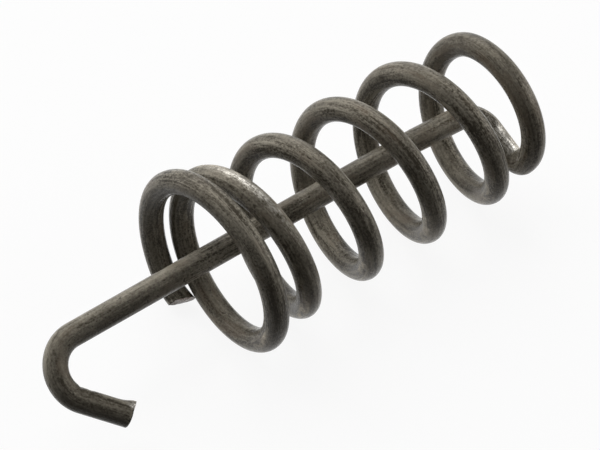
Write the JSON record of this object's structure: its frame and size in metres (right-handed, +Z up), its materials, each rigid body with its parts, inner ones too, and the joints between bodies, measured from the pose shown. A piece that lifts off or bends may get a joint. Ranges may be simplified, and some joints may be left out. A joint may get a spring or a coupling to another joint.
{
  "type": "brake shoe hold-down spring",
  "caption": "Bent-wire brake shoe spring: open coil with a wide first turn, and a straight shank that runs back through the coil to a hook.",
  "frame": {"origin": "on the surface that the spring lies on, under the middle of its bounding box", "axes": "+X along the spring's length, from the hook to the closed end of the coil; +Z up, off the surface that the spring lies on"},
  "size_m": [0.046, 0.0166, 0.016],
  "materials": {
    "wire": "dark oiled spring steel wire with drawing lines along it"
  },
  "bodies": {
    "root": {"brake_shoe_spring": "wire"}
  },
  "joints": []
}
